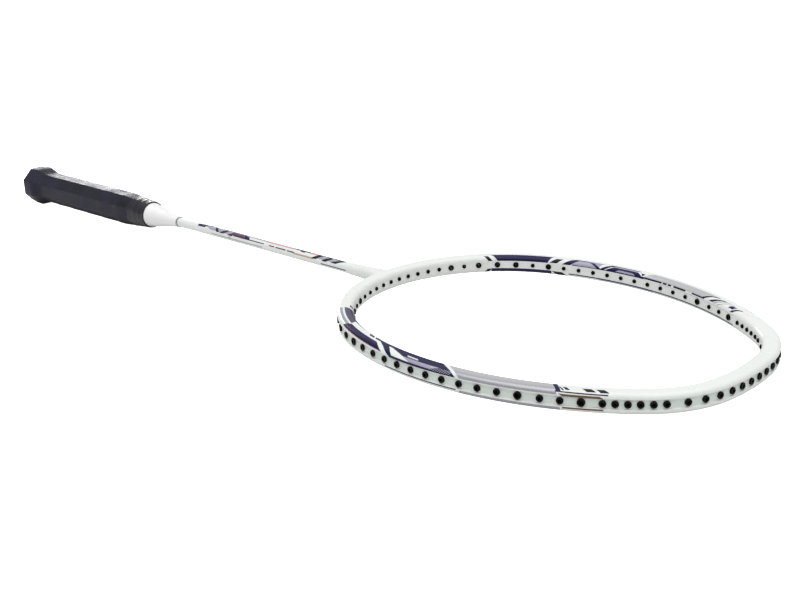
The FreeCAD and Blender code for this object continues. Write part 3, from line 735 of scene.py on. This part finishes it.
def octagon_sleeve(name, stations, round_over):
    """An eight-sided sleeve drawn out ring by ring through (x, width across flats), closed on itself."""
    rest()
    (x, width), ring_radius = stations[0], 1 / math.cos(math.radians(22.5)) / 2
    bpy.ops.mesh.primitive_circle_add(vertices=8, radius=width * ring_radius * MM, fill_type="NOTHING",
                                      location=(x * MM, 0, 0), rotation=(0, math.radians(90), 0))
    piece = bpy.context.object
    piece.name = piece.data.name = name
    bpy.ops.object.transform_apply(location=True, rotation=True, scale=True)
    bpy.ops.object.mode_set(mode="EDIT")
    bpy.ops.mesh.select_mode(type="EDGE")
    bpy.ops.mesh.select_all(action="SELECT")
    bpy.ops.transform.rotate(value=math.radians(22.5), orient_axis="X", center_override=(x * MM, 0, 0))
    for next_x, next_width in stations[1:]:
        bpy.ops.mesh.extrude_edges_move(TRANSFORM_OT_translate={"value": ((next_x - x) * MM, 0, 0)})
        share = next_width / width
        bpy.ops.transform.resize(value=(1, share, share), center_override=(next_x * MM, 0, 0))
        x, width = next_x, next_width
    bpy.ops.mesh.select_all(action="SELECT")
    bpy.ops.mesh.remove_doubles(threshold=0.00002)
    bpy.ops.mesh.normals_make_consistent(inside=False)
    bpy.ops.object.mode_set(mode="OBJECT")
    for edge in piece.data.edges:
        one, two = (piece.data.vertices[i].co for i in edge.vertices)
        turn = math.atan2(one.z, one.y) - math.atan2(two.z, two.y)
        edge.select = abs(math.sin(turn)) < 0.02
    bpy.ops.object.mode_set(mode="EDIT")
    bpy.ops.mesh.bevel(offset=round_over * MM, segments=EDGE_SEGMENTS, affect="EDGES",
                       clamp_overlap=True)
    bpy.ops.object.mode_set(mode="OBJECT")
    return piece


def apply_modifier(piece, kind, **settings):
    bpy.context.view_layer.objects.active = piece
    modifier = piece.modifiers.new(kind.lower(), kind)
    for word, value in settings.items():
        setattr(modifier, word, value)
    bpy.ops.object.modifier_apply(modifier=modifier.name)


def work_round(piece, eight_sided_at, round_at, most=1.0):
    """Works the eight sides towards a round between two places along the handle."""
    for vertex in piece.data.vertices:
        x, y, z = (c / MM for c in vertex.co)
        passed = (x - eight_sided_at) / (round_at - eight_sided_at)
        share = most * smooth_step(min(1.0, max(0.0, passed)))
        off_flat = (math.degrees(math.atan2(z, y)) + 22.5) % 45.0 - 22.5
        scale = 1 + share * (ROUND_OVER_FLATS * math.cos(math.radians(off_flat)) - 1)
        vertex.co.y, vertex.co.z = y * scale * MM, z * scale * MM


def raise_turns(piece, group, height):
    """Pushes a wall out by up to height, in mm, by the weights of a vertex group."""
    apply_modifier(piece, "DISPLACE", strength=height * MM, mid_level=0.0, vertex_group=group,
                   direction="NORMAL")


def finish_sleeve(piece, material):
    rest()
    piece.select_set(True)
    bpy.context.view_layer.objects.active = piece
    bpy.ops.object.shade_smooth_by_angle(angle=math.radians(SMOOTH_ANGLE))
    cover(piece, material)


def grip_stations():
    """The wrap's closed section: out over the butt edge, along the grip, in at the front, back inside."""
    outside = [(GRIP_BACK + x, FLARE_WIDTH - inset)
               for x, inset in ((0, 2.8), (0.12, 1.9), (0.55, 0.8), (1.2, 0.2), (2.0, 0))]
    steps = 80
    for i in range(1, steps):
        x = GRIP_BACK + 2.0 + (GRIP_FRONT - 0.6 - GRIP_BACK - 2.0) * i / steps
        outside.append((x, grip_width(x)))
    outside += [(GRIP_FRONT - 0.5, FRONT_WIDTH), (GRIP_FRONT - 0.12, FRONT_WIDTH - 0.25),
                (GRIP_FRONT, FRONT_WIDTH - 2 * FRONT_THICKNESS)]
    inside = [(x, grip_width(x) - 2 * WRAP_THICKNESS) for x in (TAPER_START, WAIST_START, FLARE_END)]
    inside += [(GRIP_BACK + inset, FLARE_WIDTH - 2 * WRAP_THICKNESS) for inset in (0.9, 0)]
    return outside + inside + outside[:1]


def grip_wrap():
    """The grip's wrap, with each turn raised a little where it overlaps the last."""
    piece = octagon_sleeve("grip_wrap_wound", grip_stations(), GRIP_EDGE_ROUND)
    apply_modifier(piece, "SUBSURF", subdivision_type="SIMPLE", levels=1, render_levels=1)
    overlap = piece.vertex_groups.new(name="overlap")
    for vertex in piece.data.vertices:
        x, y, z = (c / MM for c in vertex.co)
        outer = math.hypot(y, z) > (grip_width(x) - WRAP_THICKNESS) / 2
        phase = wrap_phase(x, math.degrees(math.atan2(-y, z))) % 1.0
        height = min(phase / WRAP_RISE, 1.0) * (1 - 0.85 * smooth_step(phase))
        fade = min(1.0, (x - GRIP_BACK) / 2, max(0.0, (TAPE_START - x) / 4))
        if outer and fade > 0:
            overlap.add([vertex.index], height * fade, "REPLACE")
    raise_turns(piece, "overlap", WRAP_STEP)
    work_round(piece, CONE_ROUND_FROM, CONE_ROUND_BY)
    work_round(piece, BUTT_ROUND_FROM, BUTT_ROUND_BY, BUTT_ROUNDING)
    finish_sleeve(piece, GRIP_PU)
    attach(piece, "root")
    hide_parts("grip_wrap")


def finishing_tape():
    """Stretched vinyl tape wound three times over the grip's front, each turn a little proud of the last."""
    end = GRIP_FRONT + TAPE_OVERHANG
    stations = [(TAPE_START, grip_width(TAPE_START) + 0.1)]
    steps = 36
    for i in range(steps):
        x = TAPE_START + 0.15 + (end - 0.4 - TAPE_START - 0.15) * i / (steps - 1)
        stations.append((x, grip_width(x) + 2 * TAPE_THICKNESS))
    stations += [(end - 0.1, FRONT_WIDTH + 0.1), (end, FRONT_WIDTH - 0.5), (end - 0.3, FRONT_WIDTH - 0.6)]
    stations += [(x, grip_width(x) - 0.4) for x in (end - 4, TAPE_START + 4, TAPE_START)]
    piece = octagon_sleeve("finishing_tape_wound", stations + stations[:1], TAPE_EDGE_ROUND)
    apply_modifier(piece, "SUBSURF", subdivision_type="SIMPLE", levels=1, render_levels=1)
    turns = piece.vertex_groups.new(name="turns")
    for vertex in piece.data.vertices:
        x, y, z = (c / MM for c in vertex.co)
        phase = (x / TAPE_PITCH - math.degrees(math.atan2(-y, z)) / 360.0) % 1.0
        if math.hypot(y, z) > grip_width(x) / 2 and TAPE_START + 0.1 < x < end - 0.5:
            weight = min(phase / TAPE_RISE, 1.0) * (1 - smooth_step(phase))
            turns.add([vertex.index], weight, "REPLACE")
    raise_turns(piece, "turns", TAPE_STEP)
    work_round(piece, CONE_ROUND_FROM, CONE_ROUND_BY)
    finish_sleeve(piece, TAPE_FILM)
    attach(piece, "root")
    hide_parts("finishing_tape")


grip_wrap()
finishing_tape()

# ---------------------------------------------------------------- floor, light and camera

FLOOR_AT_BUTT = Vector((10.5 * MM, 0, -15.4 * MM))
FLOOR_AT_TIP = Vector((672 * MM, 0, -5.6 * MM))
FLOOR_SIZE = 12.0
CAMERA_PLACE = (0.92591, -0.49993, 0.23369)
CAMERA_TURN = (70.696, 1.949, 43.920)
CAMERA_LENS, SENSOR_WIDTH = 53.47, 36.0
SKY_STRENGTH, OVERHEAD_STRENGTH, HANDLE_LIGHT, FLOOR_GLOW = 0.48, 2.5, 18, 1.7
OVERHEAD_PLACE, OVERHEAD_AIM, OVERHEAD_SPREAD = (0.55, -0.3, 2.0), (0.35, 0, 0), 80
SOFTBOX_PLACE, SOFTBOX_AIM, SOFTBOX_SIZE = (-2.05, 1.15, 0.52), (0.09, 0, 0), 0.9


def pale_floor():
    """A plain pale floor under the butt's flare and the head's tip."""
    rest()
    slope = math.atan2(FLOOR_AT_TIP.z - FLOOR_AT_BUTT.z, FLOOR_AT_TIP.x - FLOOR_AT_BUTT.x)
    bpy.ops.mesh.primitive_plane_add(size=FLOOR_SIZE, location=FLOOR_AT_BUTT, rotation=(0, -slope, 0))
    floor = bpy.context.object
    floor.name = "floor"
    material, tree, shader, place = new_material("floor_paper", Roughness=0.9, Specular_IOR_Level=0.1)
    paper = noise(place, 6.0, 2.0)
    colour = ramp(paper, (0.4, (0.74, 0.74, 0.74, 1)), (0.6, (0.76, 0.76, 0.76, 1)))
    plug(tree, colour, shader.inputs["Base Color"])
    seen = Field(tree, tree.nodes.new("ShaderNodeLightPath").outputs["Is Camera Ray"])
    plug(tree, colour, shader.inputs["Emission Color"])
    plug(tree, seen * FLOOR_GLOW, shader.inputs["Emission Strength"])
    cover(floor, material)


def place_light(data, place, aim):
    light = bpy.data.objects.new(data.name, data)
    bpy.context.scene.collection.objects.link(light)
    light.location = place
    light.rotation_euler = (Vector(aim) - Vector(place)).to_track_quat("-Z", "Y").to_euler()


def softbox(name, place, aim, size, power):
    data = bpy.data.lights.new(name, "AREA")
    data.shape, data.size, data.energy = "DISK", size, power
    place_light(data, place, aim)


def studio():
    """White surroundings that light the racket gently, with broad light from above and behind."""
    world = bpy.data.worlds.new("studio_white")
    bpy.context.scene.world = world
    world.use_nodes = True
    tree = world.node_tree
    background = tree.nodes["Background"]
    background.inputs["Color"].default_value = (1, 1, 1, 1)
    seen = Field(tree, tree.nodes.new("ShaderNodeLightPath").outputs["Is Camera Ray"])
    plug(tree, seen * (1.0 - SKY_STRENGTH) + SKY_STRENGTH, background.inputs["Strength"])
    overhead = bpy.data.lights.new("overhead_glow", "SUN")
    overhead.energy, overhead.angle = OVERHEAD_STRENGTH, math.radians(OVERHEAD_SPREAD)
    place_light(overhead, OVERHEAD_PLACE, OVERHEAD_AIM)
    softbox("handle_softbox", SOFTBOX_PLACE, SOFTBOX_AIM, SOFTBOX_SIZE, HANDLE_LIGHT)
    bpy.context.scene.view_settings.view_transform = "Standard"


def camera():
    data = bpy.data.cameras.new("camera")
    data.lens, data.sensor_width = CAMERA_LENS, SENSOR_WIDTH
    data.clip_start, data.clip_end = 0.01, 50.0
    viewer = bpy.data.objects.new("camera", data)
    bpy.context.scene.collection.objects.link(viewer)
    viewer.location = CAMERA_PLACE
    viewer.rotation_euler = Euler([math.radians(a) for a in CAMERA_TURN], "XYZ")
    bpy.context.scene.camera = viewer


pale_floor()
studio()
camera()
